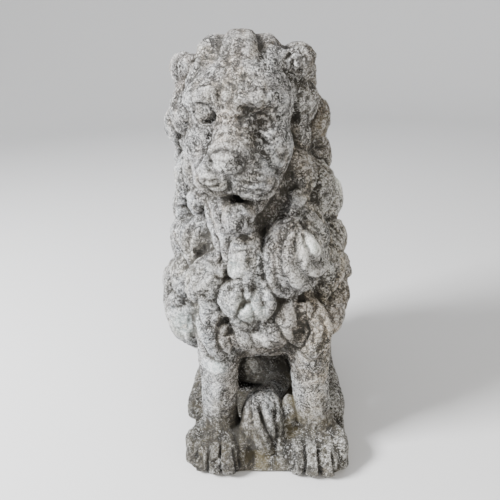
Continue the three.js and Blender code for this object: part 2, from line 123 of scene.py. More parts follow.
def in_head(x, y, z):
    """A place in the head's own frame: x across, y backwards, z up."""
    return HEAD @ (Vector((x, y, z)) * MM)


def egg(at, radii, tilt=(0, 0, 0)):
    """A ball pressed into an egg, at a place in metres, with radii in millimetres."""
    bpy.ops.object.select_all(action="DESELECT")
    bpy.ops.mesh.primitive_uv_sphere_add(segments=32, ring_count=18, radius=MM, location=at)
    made = bpy.context.object
    made.scale = radii
    made.rotation_euler = [math.radians(a) for a in tilt]
    bpy.ops.object.transform_apply(location=True, rotation=True, scale=True)
    return made


def press_on(piece, parts):
    """Parts joined to the piece, as one mesh."""
    only(piece)
    for part in parts:
        part.select_set(True)
    bpy.ops.object.join()


# Points of the mesh in bulk
def places(piece):
    """The vertices' places, one to a row."""
    co = np.empty(len(piece.data.vertices) * 3, np.float32)
    piece.data.vertices.foreach_get("co", co)
    return co.reshape(-1, 3).astype(float)


def put_back(piece, co):
    """Moves the vertices to these places."""
    piece.data.vertices.foreach_set("co", co.astype(np.float32).ravel())
    piece.data.update()


def neighbours(piece):
    """The two ends of every edge."""
    edges = np.empty(len(piece.data.edges) * 2, np.int32)
    piece.data.edges.foreach_get("vertices", edges)
    return edges.reshape(-1, 2).T


def evened(values, edges, rounds):
    """Values at the vertices, averaged with those of the neighbours."""
    a, b = edges
    count = len(values)
    share = 1 + np.bincount(a, minlength=count) + np.bincount(b, minlength=count)
    for _ in range(rounds):
        total = values.copy()
        for axis in range(values.shape[1]):
            total[:, axis] += np.bincount(a, values[b, axis], count)
            total[:, axis] += np.bincount(b, values[a, axis], count)
        values = total / share[:, None]
    return values


def outward(piece, edges, rounds=4):
    """The direction away from the stone at each vertex."""
    normals = np.empty(len(piece.data.vertices) * 3, np.float32)
    piece.data.vertices.foreach_get("normal", normals)
    normals = evened(normals.reshape(-1, 3).astype(float), edges, rounds)
    return normals / np.linalg.norm(normals, axis=1, keepdims=True)


def step(low_edge, high_edge, value):
    """Rises smoothly from 0 at the first edge to 1 at the second."""
    t = np.clip((value - low_edge) / (high_edge - low_edge), 0, 1)
    return t * t * (3 - 2 * t)


def lumps(co, size, seed):
    """Seeded smooth noise between -1 and 1, in lumps of about the given size."""
    p = co / (size * MM) + seed * 7.31
    cell = np.floor(p).astype(np.int64)
    t = p - cell
    t = t * t * t * (t * (t * 6 - 15) + 10)
    total = np.zeros(len(co))
    for dx in (0, 1):
        for dy in (0, 1):
            for dz in (0, 1):
                h = (cell[:, 0] + dx) * 73856093 ^ (cell[:, 1] + dy) * 19349663
                h = h ^ (cell[:, 2] + dz) * 83492791 ^ seed * 26544357
                h = ((h ^ (h >> 13)) * 1274126177) & 0x7FFFFFFF
                h = (h ^ (h >> 15)) & 0xFFFF
                weight = np.abs(1 - dx - t[:, 0]) * np.abs(1 - dy - t[:, 1]) * np.abs(1 - dz - t[:, 2])
                total += weight * (h / 32767.5 - 1)
    return total


# Locks. `route` gives the angle round the mane's axis and the height, from root to tip. The angle 0 is
# straight ahead and grows towards the lion's own left.
CHEST_LOCKS = [
    dict(route=[(-10, 400), (-11, 384), (-11, 364)], width=46, strands=2, flute=0.12),
    dict(
        route=[(-7, 380), (-8, 329), (-5, 282)],
        width=58, strands=2, belly=0.62, twist=0.3, wobble=0.4,
    ),
    dict(route=[(-9, 305), (-16, 269), (-11, 231)], width=54, strands=3, twist=-0.4),
    dict(route=[(0, 303), (4, 273), (1, 240)], width=48, strands=2, twist=0.3, flute=0.12),
    dict(route=[(29, 377), (16, 360), (11, 321), (17, 282), (32, 272)], width=33, strands=2, wobble=0.3),
    dict(route=[(27, 366), (21, 343), (22, 314), (30, 292), (40, 290)], width=30, strands=1, wobble=0.3),
    dict(route=[(31, 369), (28, 345), (31, 320), (40, 306), (48, 312)], width=26, strands=1, wobble=0.3),
    dict(route=[(33, 359), (36, 341), (39, 324)], width=25, strands=1, flute=0),
    dict(route=[(28, 378), (42, 383), (54, 362), (56, 335)], width=34, strands=2),
    dict(route=[(52, 408), (40, 392), (24, 366)], width=32, strands=2),
    dict(route=[(57, 322), (65, 292), (61, 250)], width=56, strands=3, twist=0.4),
    dict(route=[(78, 330), (80, 290), (76, 250)], width=52, strands=3, twist=-0.4),
    dict(route=[(57, 262), (66, 234), (60, 200)], width=54, strands=3, twist=0.4),
    dict(route=[(80, 262), (84, 232), (80, 196)], width=54, strands=3, twist=-0.4),
    dict(route=[(29, 272), (22, 238), (27, 200)], width=42, strands=2, twist=0.3),
    dict(route=[(44, 258), (43, 221), (37, 182)], width=42, strands=2, twist=-0.3),
    dict(route=[(-52, 398), (-39, 384), (-28, 348), (-26, 308)], width=38, strands=2),
    dict(route=[(-57, 366), (-62, 337), (-58, 306)], width=48, strands=3, twist=0.4),
    dict(route=[(-78, 372), (-80, 340), (-76, 306)], width=50, strands=3, twist=-0.4),
    dict(route=[(-29, 327), (-39, 290), (-50, 262)], width=66, strands=4, twist=0.4, flute=0.14),
    dict(route=[(-62, 318), (-68, 278), (-64, 242)], width=52, strands=3, twist=-0.4, flute=0.14),
    dict(route=[(-62, 264), (-71, 216), (-70, 152)], width=64, strands=3, twist=0.4, flute=0.07),
    dict(route=[(-80, 258), (-84, 224), (-80, 184)], width=56, strands=3, twist=-0.4),
    dict(route=[(-36, 276), (-36, 247), (-30, 218)], width=42, strands=2, twist=0.3, flute=0.14),
    dict(route=[(-31, 244), (-33, 214), (-27, 182)], width=44, strands=3, twist=-0.3),
    dict(route=[(-17, 234), (-12, 212), (-5, 190)], width=44, strands=3, twist=0.3),
    dict(route=[(3, 238), (10, 215), (20, 194)], width=42, strands=2, twist=-0.3),
]
FACE_LOCKS = [
    dict(route=[(66, 540), (74, 510), (70, 478)], width=50, strands=3, twist=0.4),
    dict(route=[(62, 488), (68, 468), (64, 446)], width=38, strands=2, twist=-0.4),
    dict(route=[(47, 452), (56, 426), (51, 396)], width=46, strands=2, twist=0.4),
    dict(route=[(74, 434), (80, 402), (75, 364)], width=50, strands=2, twist=-0.4),
    dict(route=[(-68, 534), (-74, 506), (-70, 468)], width=50, strands=3, twist=-0.4),
    dict(route=[(-66, 472), (-71, 456), (-67, 438)], width=36, strands=2, twist=0.4),
    dict(route=[(-54, 448), (-63, 427), (-57, 402)], width=46, strands=2, twist=-0.4, flute=0.14),
    dict(route=[(-47, 409), (-59, 392), (-58, 370)], width=40, strands=2, twist=0.4, flute=0.14),
    dict(route=[(-78, 452), (-82, 416), (-78, 374)], width=48, strands=3, twist=-0.4),
]
BACK_ROWS = [
    dict(top=560, drop=60, start=130, stop=246, count=4),
    dict(top=512, drop=62, start=102, stop=262, count=5),
    dict(top=462, drop=66, start=118, stop=256, count=5),
    dict(top=408, drop=70, start=96, stop=264, count=6),
    dict(top=350, drop=74, start=100, stop=260, count=6),
    dict(top=290, drop=76, start=98, stop=262, count=6),
    dict(top=232, drop=54, start=100, stop=260, count=6),
]
BACK_LOCK = dict(width=56, strands=4)
BACK_TWIST = 0.6
BACK_CURL = 9

# Tufts over the forehead and the tuft of the tail, as places from root to tip and the way they face
CROWN_TUFTS = [
    dict(line=[(-60, -90, 550), (-57, -68, 572), (-50, -34, 578), (-42, 6, 568)], width=38, strands=1),
    dict(line=[(-23, -102, 550), (-22, -78, 576), (-22, -36, 584), (-22, 14, 570)], width=50, strands=2),
    dict(line=[(14, -93, 549), (11, -68, 572), (6, -34, 578), (0, 8, 568)], width=36, strands=1),
]
TAIL_TUFT = dict(
    line=[(-7, -98, 94), (-8, -134, 72), (-4, -156, 24)],
    width=68, strands=1, belly=0.45, flute=0, rise=0.4,
)
TUFT_FACE = (0, -0.75, 0.66)
HAIR_BAND = dict(line=[(-60, -86, 570), (-72, -92, 556), (-82, -92, 536)], width=20, strands=1)

# Middles of the fore paws, and their toes: place across, how far set back, girth
PAWS = (-72, 64)
TOES = [
    (-114, 20, 0.6),
    (-97, 6, 0.84),
    (-77, 1, 0.84),
    (-56, 0, 0.92),
    (-33, 14, 0.95),
    (20, 14, 0.85),
    (41, 2, 0.84),
    (62, -1, 0.92),
    (85, -1, 0.95),
    (105, 13, 0.8),
]
TOE_GAPS = (-107, -87, -67, -45, 31, 51, 73, 96)

# Grooves between the three strands of the tail's tuft, seen from the front
TUFT_LINES = [
    dict(line=[(-13, 90), (-9, 80), (-1, 64), (6, 48), (6, 34)], wide=3.4, deep=5.5),
    dict(line=[(4, 92), (9, 78), (13, 62), (12, 47), (9, 34)], wide=3, deep=5),
    dict(line=[(-24, 84), (-20, 70), (-10, 52), (-2, 38)], wide=2.4, deep=1.6),
]
TUFT_STROKES = [
    dict(name="flank, own right", at=(-27, 32), size=(9, 20), turn=0, lift=-9),
    dict(name="flank, own left", at=(27, 36), size=(9, 20), turn=0, lift=-8),
    dict(name="belly", at=(-14, 64), size=(14, 18), turn=0, lift=2.5),
]

# Lines cut into the face, as places across and up in the head's frame, seen from straight in front of it
FACE_LINES = [
    dict(name="philtrum", line=[(1, -45), (0, -54), (-1, -66)], wide=2.8, deep=4),
    dict(name="mouth, own right", line=[(-1, -66), (-12, -69), (-25, -64), (-36, -54)], wide=2.6, deep=3.4),
    dict(
        name="mouth, own left", wide=2.8, deep=4.5,
        line=[(4, -72), (14, -80), (28, -80), (42, -72), (50, -60)],
    ),
    dict(name="top of the nose", line=[(-20, -25), (-12, -19), (2, -17), (15, -22)], wide=2.2, deep=3),
    dict(name="wing, own right", line=[(-20, -24), (-26, -31), (-23, -40), (-13, -44)], wide=2.6, deep=3.6),
    dict(name="wing, own left", line=[(16, -23), (21, -30), (19, -39), (10, -44)], wide=2.6, deep=3.6),
    dict(name="upper lid, own right", line=[(-40, 26), (-31, 27), (-22, 22), (-17, 15)], wide=2.2, deep=3),
    dict(name="lower lid, own right", line=[(-17, 15), (-19, 9), (-26, 5), (-34, 6)], wide=2.2, deep=2.2),
    dict(name="outer corner, own right", line=[(-40, 6), (-46, 12), (-44, 19)], wide=2.2, deep=1.2),
    dict(name="upper lid, own left", line=[(24, 12), (30, 14), (38, 12), (46, 4)], wide=2.4, deep=3),
    dict(name="lower lid, own left", line=[(24, 12), (29, 0), (37, -4), (46, 0)], wide=2.2, deep=2),
    dict(name="under the eye, own left", line=[(27, -7), (35, -13), (43, -20)], wide=2.4, deep=3.6),
    dict(name="under the eye, own right", line=[(-18, 0), (-25, -8), (-30, -15)], wide=2.6, deep=2.8),
    dict(name="cheek, own right", line=[(-22, -10), (-28, -22), (-36, -36)], wide=3.6, deep=2.2),
    dict(name="cheek, own left", line=[(30, -20), (40, -30), (48, -44), (52, -60)], wide=4.5, deep=2),
    dict(name="frown", line=[(3, 30), (6, 38), (5, 47)], wide=3.4, deep=1.6),
    dict(name="frown, own right", line=[(-9, 28), (-11, 37), (-8, 46)], wide=3.4, deep=1.4),
    dict(
        name="edge of the face, own left", wide=3.4, deep=4,
        line=[(59, 50), (64, 24), (62, -6), (56, -34)],
    ),
    dict(
        name="edge of the face, own right", wide=3, deep=2.4,
        line=[(-56, 44), (-62, 20), (-60, -4), (-52, -28)],
    ),
    dict(name="whiskers, own left", line=[(14, -52), (26, -55), (38, -54)], wide=2, deep=1.8),
    dict(name="whiskers, own left, low", line=[(12, -60), (25, -64), (38, -63)], wide=2, deep=1.8),
    dict(name="whiskers, own right", line=[(-12, -51), (-22, -53), (-32, -51)], wide=2, deep=1.6),
    dict(name="whiskers, own right, low", line=[(-11, -58), (-21, -60), (-30, -58)], wide=2, deep=1.6),
    dict(name="ear, own left", line=[(56, 50), (55, 64), (63, 74), (75, 71), (80, 60)], wide=2.6, deep=3),
    dict(name="curl of the ear, own left", line=[(64, 52), (63, 63), (72, 66), (74, 56)], wide=2.2, deep=2),
    dict(name="ear, own right", line=[(-64, 71), (-73, 69), (-79, 60), (-76, 47)], wide=3, deep=4.5),
    dict(name="curl of the ear, own right", line=[(-66, 66), (-71, 58), (-68, 48)], wide=2.4, deep=3),
]

# Strokes that push the clay of the face in or pull it out: place, size across and up, turn in degrees
FACE_STROKES = [
    dict(name="brow, own right", at=(-27, 37), size=(20, 7), turn=6, lift=3.6),
    dict(name="brow, own left", at=(36, 29), size=(22, 7), turn=-8, lift=3.4),
    dict(name="under the brow, own left", at=(20, 20), size=(9, 6), turn=-20, lift=-3.5),
    dict(name="beside the bridge, own right", at=(-14, -4), size=(6, 12), turn=0, lift=2),
    dict(name="eye, own right", at=(-31, 16), size=(9, 7), turn=0, lift=3),
    dict(name="beside the bridge, own left", at=(21, 5), size=(7, 12), turn=0, lift=4),
    dict(name="eye, own left", at=(35, 5), size=(9, 5), turn=-20, lift=-3.5),
    dict(name="pit of the eye, own left", at=(31, 4), size=(4, 4), turn=0, lift=-4),
    dict(name="cheek under the eye, own right", at=(-30, -6), size=(12, 9), turn=0, lift=2.5),
    dict(name="inner corner, own right", at=(-18, 14), size=(3, 5), turn=0, lift=-1.2),
    dict(name="bridge", at=(-4, -4), size=(9, 18), turn=4, lift=1.8),
    dict(name="bump on the bridge", at=(-3, -1), size=(7, 4), turn=0, lift=1.6),
    dict(name="side of the bridge, own left", at=(20, -14), size=(9, 16), turn=0, lift=4),
    dict(name="pad of the nose", at=(-2, -31), size=(19, 9), turn=0, lift=3.6),
    dict(name="lip of the nose", at=(2, -39), size=(12, 5), turn=0, lift=2.4),
    dict(name="nostril, own right", at=(-19, -31), size=(4, 5), turn=-20, lift=-8),
    dict(name="nostril, own left", at=(15, -31), size=(3.6, 4.6), turn=20, lift=-7),
    dict(name="mouth", at=(2, -85), size=(7, 6), turn=0, lift=-9),
    dict(name="ear, own left", at=(70, 52), size=(5, 4), turn=0, lift=-6),
    dict(name="ear, own right", at=(-74, 56), size=(5, 8), turn=-10, lift=-5),
]


def spline(points, count):
    """Points along a smooth curve through the given ones."""
    p = [2 * points[0] - points[1], *points, 2 * points[-1] - points[-2]]
    made = []
    spans = len(points) - 1
    for s in range(count + 1):
        u = s / count * spans
        n = min(int(u), spans - 1)
        t = u - n
        a, b, c, d = p[n : n + 4]
        bend = (2 * a - 5 * b + 4 * c - d) * t**2 + (3 * b - a - 3 * c + d) * t**3
        made.append((2 * b + (c - a) * t + bend) / 2)
    return np.array(made)


def swell(t, belly):
    """How full a lock is along its length, fullest at the share `belly`."""
    return np.sin(np.pi * t ** (math.log(0.5) / math.log(belly)))


def on_mane(tree, angle, level):
    """Where the surface is met, coming in towards the mane's axis at this angle and height."""
    a = math.radians(angle)
    heading = Vector((math.sin(a), -math.cos(a), 0))
    start = Vector((*MANE_AXIS, level)) * MM + heading * REACH * MM
    hit, normal, _, _ = tree.ray_cast(start, -heading)
    return np.array(hit), np.array(normal)


def on_face(tree, x, z):
    """Where the surface is met, coming in from straight in front of the head."""
    ahead = HEAD.to_3x3() @ Vector((0, 1, 0))
    hit, normal, _, _ = tree.ray_cast(in_head(x, -REACH, z), ahead)
    return np.array(hit), np.array(normal)


def as_lock(
    spots, outs, width, strands=3, belly=0.55, twist=0.0, end=0.5, flute=0.28, wobble=1.0, rise=1.0
):
    """A lock's own measures along its length: place, side, outward, half width."""
    steps = 5 * (len(spots) - 1)
    line = spline(spots, steps)
    along = np.gradient(line, axis=0)
    along /= np.linalg.norm(along, axis=1, keepdims=True)
    t = np.linspace(0, 1, steps + 1)
    side = np.cross(along, spline(outs, steps))
    side /= np.linalg.norm(side, axis=1, keepdims=True)
    half = width * MM / 2 * (end + (1 - end) * np.clip(swell(t, belly), 0, 1))
    up = np.cross(side, along)
    own = dict(strands=strands, twist=twist, flute=flute, wobble=wobble, rise=rise)
    return dict(line=line, side=side, up=up, half=half, **own)


def laid_lock(tree, route, **shape):
    """A lock that follows its route over the surface of the mane."""
    spots, outs = zip(*(on_mane(tree, angle, level) for angle, level in route))
    return as_lock(list(spots), list(outs), **shape)


def back_locks():
    """Rows of locks over the back, each row staggered against the last."""
    made = []
    for row, r in enumerate(BACK_ROWS):
        side = 1 if row % 2 else -1
        for n in range(r["count"]):
            angle = r["start"] + (r["stop"] - r["start"]) * n / (r["count"] - 1)
            curl = side * BACK_CURL * (1 if n % 2 else 0.6)
            top, drop = r["top"], r["drop"]
            route = [(angle, top), (angle + curl, top - drop / 2), (angle + curl * 0.3, top - drop)]
            made.append(dict(route=route, twist=BACK_TWIST * side, **BACK_LOCK))
    return made


def free_lock(line, outs, **shape):
    """A lock along a line of its own, facing the given ways."""
    return as_lock([np.array(p) * MM for p in line], [np.array(o, float) for o in outs], **shape)


def about_lock(co, lock):
    """Vertices near the lock: distance in half widths, place across and along it, and half width."""
    line, half = lock["line"], lock["half"]
    margin = half.max() * 1.7
    near = np.flatnonzero(np.all((co > line.min(0) - margin) & (co < line.max(0) + margin), axis=1))
    start, run = line[:-1], line[1:] - line[:-1]
    q = co[near][:, None, :] - start
    t = np.clip((q * run).sum(2) / (run * run).sum(1), 0, 1)
    d = q - t[..., None] * run
    wide = half[:-1] * (1 - t) + half[1:] * t
    across = (d * lock["side"][:-1]).sum(2)
    above = (d * lock["up"][:-1]).sum(2)
    rest = np.sqrt(np.clip((d * d).sum(2) - across**2 - above**2, 0, None))
    k = np.sqrt((across / wide) ** 2 + (above / wide / 1.3) ** 2 + (rest / wide) ** 2)
    best = k.argmin(1)
    row = np.arange(len(near))
    share = (best + t[row, best]) / len(run)
    return near, k[row, best], (across / wide)[row, best], share, wide[row, best]


# Carving of the locks: depth of the seam round a lock, how far its middle is raised, the deepest a flute
# is cut, and a distance in half widths that counts as far from any lock
SEAM = 6
CROWN = 3.6
DEEPEST_FLUTE = 5.5
FAR = 9.0


def carve_locks(co, locks):
    """How far each vertex moves out: strands along every lock, a seam round it, its middle raised."""
    count = len(co)
    first = np.full(count, FAR)
    second = np.full(count, FAR)
    groove = np.zeros(count)
    rise = np.ones(count)
    wander = lumps(co, 32, 5) * 0.24 + lumps(co, 12, 6) * 0.07
    kept = 0.3 + 0.7 * step(-0.4, 0.2, lumps(co, 26, 7))
    for number, lock in enumerate(locks):
        near, k, across, along, wide = about_lock(co, lock)
        shifted = across + lock["twist"] * (along - 0.5) * (1 - across**2)
        shifted = shifted + wander[near] * lock["wobble"]
        shifted = shifted + 0.15 * np.sin(2.6 * shifted + 1.9 * number)
        phase = lock["strands"] * (np.clip(shifted, -1, 1) + 1) / 2
        strand = np.abs(np.sin(np.pi * phase))
        gauge = 2 * wide / lock["strands"] * lock["flute"]
        steady = 1 - lock["wobble"] * (1 - kept[near])
        cut = np.minimum(gauge, DEEPEST_FLUTE * MM) * (1 - strand) ** 1.5 * steady
        mine = k < first[near]
        hit = near[mine]
        second[hit] = first[hit]
        first[hit] = k[mine]
        groove[hit] = cut[mine]
        rise[hit] = lock["rise"]
        other = near[~mine]
        second[other] = np.minimum(second[other], k[~mine])
    on = step(1.3, 0.9, first)
    seams = SEAM * MM * np.exp(-(((second - first) / 0.1) ** 2)) * step(1.7, 1.1, first)
    lift = CROWN * MM * np.clip(1 - first**2, -0.8, 1) * step(1.6, 1.0, first)
    return (lift - seams) * rise - groove * on


def on_front(tree, x, z):
    """Where the surface is met, coming in level from the front of the statue."""
    hit, normal, _, _ = tree.ray_cast(Vector((x, -2 * REACH, z)) * MM, Vector((0, 1, 0)))
    return np.array(hit), np.array(normal)


def near_line(co, line, margin):
    """Vertices near a line: their distance from it and their place along it."""
    near = np.flatnonzero(np.all((co > line.min(0) - margin) & (co < line.max(0) + margin), axis=1))
    start, run = line[:-1], line[1:] - line[:-1]
    q = co[near][:, None, :] - start
    t = np.clip((q * run).sum(2) / (run * run).sum(1), 0, 1)
    gap = np.linalg.norm(q - t[..., None] * run, axis=2)
    best = gap.argmin(1)
    row = np.arange(len(near))
    return near, gap[row, best], (best + t[row, best]) / len(run)


# Every line that is cut in is kept here, because it is darkened later, with dirt and painted shade
cuts = []


def cut_lines(co, tree, lines, place=on_face):
    """How far each vertex moves for the lines cut in, each with its lips raised a little."""
    change = np.zeros(len(co))
    for cut in lines:
        spots = [place(tree, x, z)[0] for x, z in cut["line"]]
        line = spline(spots, 6 * (len(spots) - 1))
        wide, deep = cut["wide"] * MM, cut["deep"] * MM
        near, gap, share = near_line(co, line, wide * 5)
        d = gap / wide
        cuts.append(dict(line=line, reach=wide, dark=min(1, cut["deep"] / 3)))
        fade = np.minimum(np.minimum(share, 1 - share) * 6 + 0.25, 1)
        change[near] -= deep * fade * (np.exp(-(d**2)) - 0.28 * np.exp(-((d - 2.1) ** 2)))
    return change


TOE_GAP = dict(wide=2, deep=4.5)
TOE_GAP_HEIGHTS = (44, 36, 26, 14, 6)
TOE_GAP_SPREAD = 220


def toe_gaps():
    """Lines between one toe and the next, drawn together up the paw."""
    gaps = []
    for x in TOE_GAPS:
        leg = PAWS[0] if x < 0 else PAWS[1]
        foot = TOE_GAP_HEIGHTS[-1]
        line = [(x + (leg - x) * (z - foot) / TOE_GAP_SPREAD, z) for z in TOE_GAP_HEIGHTS]
        gaps.append(dict(line=line, **TOE_GAP))
    return gaps


def press(co, tree, strokes, place=on_face, frame=HEAD):
    """How far each vertex moves for strokes that push the clay in or pull it out."""
    change = np.zeros(len(co))
    back = np.array(frame.inverted().to_3x3())
    for stroke in strokes:
        spot = place(tree, *stroke["at"])[0]
        off = (co - spot) @ back.T / MM
        turn = math.radians(stroke["turn"])
        across = off[:, 0] * math.cos(turn) + off[:, 2] * math.sin(turn)
        upward = off[:, 2] * math.cos(turn) - off[:, 0] * math.sin(turn)
        wide, tall = stroke["size"]
        d = (across / wide) ** 2 + (upward / tall) ** 2 + (off[:, 1] / (1.2 * max(wide, tall))) ** 2
        change += stroke["lift"] * MM * np.exp(-d)
    return change


# The casting: parts pressed on to the head, in the head's own frame, and on to the body and the ground
EYEBALL = dict(at=(-31, -47, 16), radii=(10, 8, 8))
HEAD_PARTS = [
    dict(name="pad of the nose", at=(-2, -84, -29), radii=(17, 10, 10)),
    dict(name="wing of the nose, own right", at=(-17, -80, -31), radii=(9, 9, 9)),
    dict(name="wing of the nose, own left", at=(13, -82, -31), radii=(9, 9, 9)),
    dict(name="lip, own left", at=(25, -58, -62), radii=(27, 24, 20)),
    dict(name="foot of the lip, own left", at=(18, -52, -76), radii=(14, 16, 9)),
    dict(name="lip, own right", at=(-18, -62, -56), radii=(22, 22, 16)),
    dict(name="foot of the lip, own right", at=(-20, -50, -74), radii=(18, 16, 9)),
    dict(name="under the nose", at=(0, -80, -46), radii=(12, 9, 10)),
    dict(name="ear, own left", at=(69, 4, 62), radii=(17, 13, 17)),
    dict(name="ear, own right", at=(-70, 6, 60), radii=(13, 11, 16)),
    dict(name="root of the ear, own right", at=(-52, -6, 62), radii=(16, 18, 13)),
    dict(name="root of the ear, own left", at=(50, 2, 64), radii=(14, 18, 14)),
]
BODY_PARTS = [
    dict(name="lock over the own left leg", at=(50, -111, 232), radii=(14, 13, 30), tilt=12),
    dict(name="haunch seen between the legs", at=(-16, 20, 50), radii=(56, 26, 36), tilt=0),
]
GROUND_PARTS = [
    dict(name="earth between the paws", at=(-4, -140, 12), radii=(38, 22, 12), tilt=0),
    dict(name="shaded strand of the tuft", at=(30, -111, 60), radii=(13, 13, 33), tilt=-23),
]

# Each toe has a knuckle, sunk by a share of its radius, and an end below it
KNUCKLE = dict(back=13, deep=15, sunk=0.8)
TOE_END = dict(back=2, up=15, wide=0.98, deep=12, tall=14)


def tilted_egg(part):
    """A part of the body or the ground, tilted forwards or backwards."""
    return egg(Vector(part["at"]) * MM, part["radii"], (part["tilt"], 0, 0))


def toe_eggs(x, back, girth):
    """The knuckle and the end of a toe."""
    radius = TOE_RADIUS * girth
    tip = PAW_TIP + back
    knuckle = Vector((x, tip + KNUCKLE["back"], TOE_HEIGHT - radius * KNUCKLE["sunk"])) * MM
    end = Vector((x, tip + TOE_END["back"], TOE_END["up"])) * MM
    return [
        egg(knuckle, (radius, KNUCKLE["deep"], radius)),
        egg(end, (radius * TOE_END["wide"], TOE_END["deep"], TOE_END["tall"])),
    ]


def rough_casting():
    """A copy of the frame's solid, merged and rounded, with parts pressed on."""
    mesh = frame["nodes"]["lion"].data.copy()
    mesh.materials.clear()
    piece = bpy.data.objects.new("stone_lion", mesh)
    bpy.context.scene.collection.objects.link(piece)
    only(piece)
    bpy.ops.object.mode_set(mode="EDIT")
    bpy.ops.mesh.select_all(action="SELECT")
    bpy.ops.mesh.remove_doubles(threshold=1e-5)
    bpy.ops.mesh.normals_make_consistent(inside=False)
    bpy.ops.object.mode_set(mode="OBJECT")
    apply(piece, "SUBSURF", levels=1, render_levels=1)

    parts = [egg(in_head(*EYEBALL["at"]), EYEBALL["radii"])]
    for part in HEAD_PARTS:
        parts.append(egg(in_head(*part["at"]), part["radii"], (0, 0, HEAD_TURN)))
    for part in BODY_PARTS:
        parts.append(tilted_egg(part))
    for toe in TOES:
        parts.extend(toe_eggs(*toe))
    for part in GROUND_PARTS:
        parts.append(tilted_egg(part))
    press_on(piece, parts)
    melt(piece, SKIN)
    apply(piece, "SMOOTH", factor=0.5, iterations=8)
    return piece


# The face is kept bare of locks: its middle in the head's frame, and its reach across, deep and up in metres
FACE_MIDDLE = (-2, -62, -4)
FACE_REACH = (0.056, 0.056, 0.075)


def carve(piece):
    """Carves locks, lines and strokes into the casting."""
    tree = BVHTree.FromObject(piece, bpy.context.evaluated_depsgraph_get())
    locks = [laid_lock(tree, **lock) for lock in CHEST_LOCKS + FACE_LOCKS + back_locks()]
    front, top = (0, -0.8, 0.6), (0, 0, 1)
    over = dict(outs=[front, top, top, top], belly=0.4, end=0.7, flute=0.08, rise=0.35)
    locks += [free_lock(**over, **tuft) for tuft in CROWN_TUFTS]
    locks.append(free_lock(outs=[front, front, front], **HAIR_BAND))
    locks.append(free_lock(outs=[TUFT_FACE] * 3, end=0.4, wobble=0.3, **TAIL_TUFT))
    edges = neighbours(piece)
    co = places(piece)
    away = outward(piece, edges)
    face = in_head(*FACE_MIDDLE)
    ahead = np.array(HEAD.to_3x3() @ Vector((0, -1, 0)))
    off = co - np.array(face)
    forward = off @ ahead
    wide = np.linalg.norm((off - forward[:, None] * ahead) / np.array(FACE_REACH), axis=1)
    bare = step(1.12, 0.9, wide) * step(-0.05, -0.02, forward)
    change = evened(carve_locks(co, locks)[:, None], edges, 2)[:, 0] * (1 - bare)
    change += cut_lines(co, tree, FACE_LINES)
    change += cut_lines(co, tree, toe_gaps(), on_front)
    change += cut_lines(co, tree, TUFT_LINES, on_front)
    change += press(co, tree, FACE_STROKES)
    change += press(co, tree, TUFT_STROKES, on_front, Matrix())
    put_back(piece, co + away * change[:, None])


# How far the weather moves the surface, and what is left alone just over the ground
WEAR = dict(crust=0.6, fine=0.6, pits=1.3, dents=1.2, lumps=1.2)
WARP = 3
GROUND_EDGE = (0.004, 0.012)


def weather(piece):
    """Rough, pitted and chipped as the old casting is."""
    edges = neighbours(piece)
    co = places(piece)
    away = outward(piece, edges, 2)
    warp = co + WARP * MM * np.stack([lumps(co, 14, s) for s in (11, 12, 13)], axis=1)
    crust = 1 - 2 * np.abs(lumps(warp, 13, 21))
    fine = 1 - 2 * np.abs(lumps(warp, 5.5, 22))
    pits = step(0.4, 0.7, lumps(warp, 8, 23))
    dents = step(0.3, 0.8, lumps(co, 26, 24))
    above = step(*GROUND_EDGE, co[:, 2])
    change = WEAR["crust"] * crust + WEAR["fine"] * fine - WEAR["pits"] * pits
    change = change - WEAR["dents"] * dents + WEAR["lumps"] * lumps(co, 34, 25)
    put_back(piece, co + away * (change * above * MM)[:, None])


def triangle_count(piece):
    """How many triangles the piece comes to."""
    return sum(len(p.vertices) - 2 for p in piece.data.polygons)


piece = rough_casting()
carve(piece)
weather(piece)
apply(piece, "SMOOTH", factor=0.3, iterations=1)
apply(piece, "DECIMATE", ratio=TRIANGLES / triangle_count(piece))


# What the weather has left, and where shade and light are painted: how deep each place lies, how proud, and
# the stains of single places, some of them spots of painted shade and painted highlight
STAINS = [
    dict(kind="grime_and_shade", at=(-54, -153, 460), wide=6),
    dict(kind="grime_and_shade", at=(-23, -161, 461), wide=5),
    dict(kind="grime_and_shade", at=(-8, -158, 458), wide=5),
    # the next two are painted shade: the hollow of the own left eye and the shadow under its brow
    dict(kind="grime_and_shade", at=(1, -121, 491), wide=8, strong=0.45),
    dict(kind="grime_and_shade", at=(-12, -128, 512), wide=9, strong=0.3),
    dict(kind="grime_and_shade", at=(1, -125, 427), wide=6),
    # painted shade deep between the fore legs
    dict(kind="grime_and_shade", at=(-4, -10, 66), wide=34, strong=0.6),
    dict(kind="wear_and_highlight", at=(-38, -163, 455), wide=18),
    # painted highlight on the own right eye
    dict(kind="wear_and_highlight", at=(-60, -128, 508), wide=9),
    dict(kind="wear_and_highlight", at=(53, -128, 118), wide=22, strong=0.5),
    dict(kind="wear_and_highlight", at=(-66, -130, 130), wide=24, strong=0.4),
    dict(kind="wear_and_highlight", at=(-6, -140, 212), wide=22, strong=0.6),
    # painted light on the swirl, which turns away from the key lamp
    dict(kind="wear_and_highlight", at=(46, -134, 318), wide=28, strong=0.9),
    dict(kind="algae", at=(58, -132, 345), wide=12),
    dict(kind="algae", at=(-19, -138, 261), wide=20),
    dict(kind="algae", at=(-118, -92, 209), wide=24),
    dict(kind="algae", at=(98, -13, 392), wide=16),
    dict(kind="algae", at=(-35, -130, 320), wide=12),
    dict(kind="algae", at=(-70, -128, 160), wide=14),
    dict(kind="algae", at=(-46, -6, 74), wide=14, strong=0.5),
    dict(kind="algae", at=(62, -40, 545), wide=10),
    dict(kind="moss", at=(-9, -158, 13), wide=24),
    dict(kind="moss", at=(120, -150, 6), wide=18),
    dict(kind="moss", at=(35, -105, 84), wide=13),
    dict(kind="moss", at=(35, -118, 62), wide=13),
    dict(kind="moss", at=(35, -128, 42), wide=13),
]


# Rays that test how sheltered a place is: how many, and how far they look, in metres
RAYS = 12
LOOK = 0.05


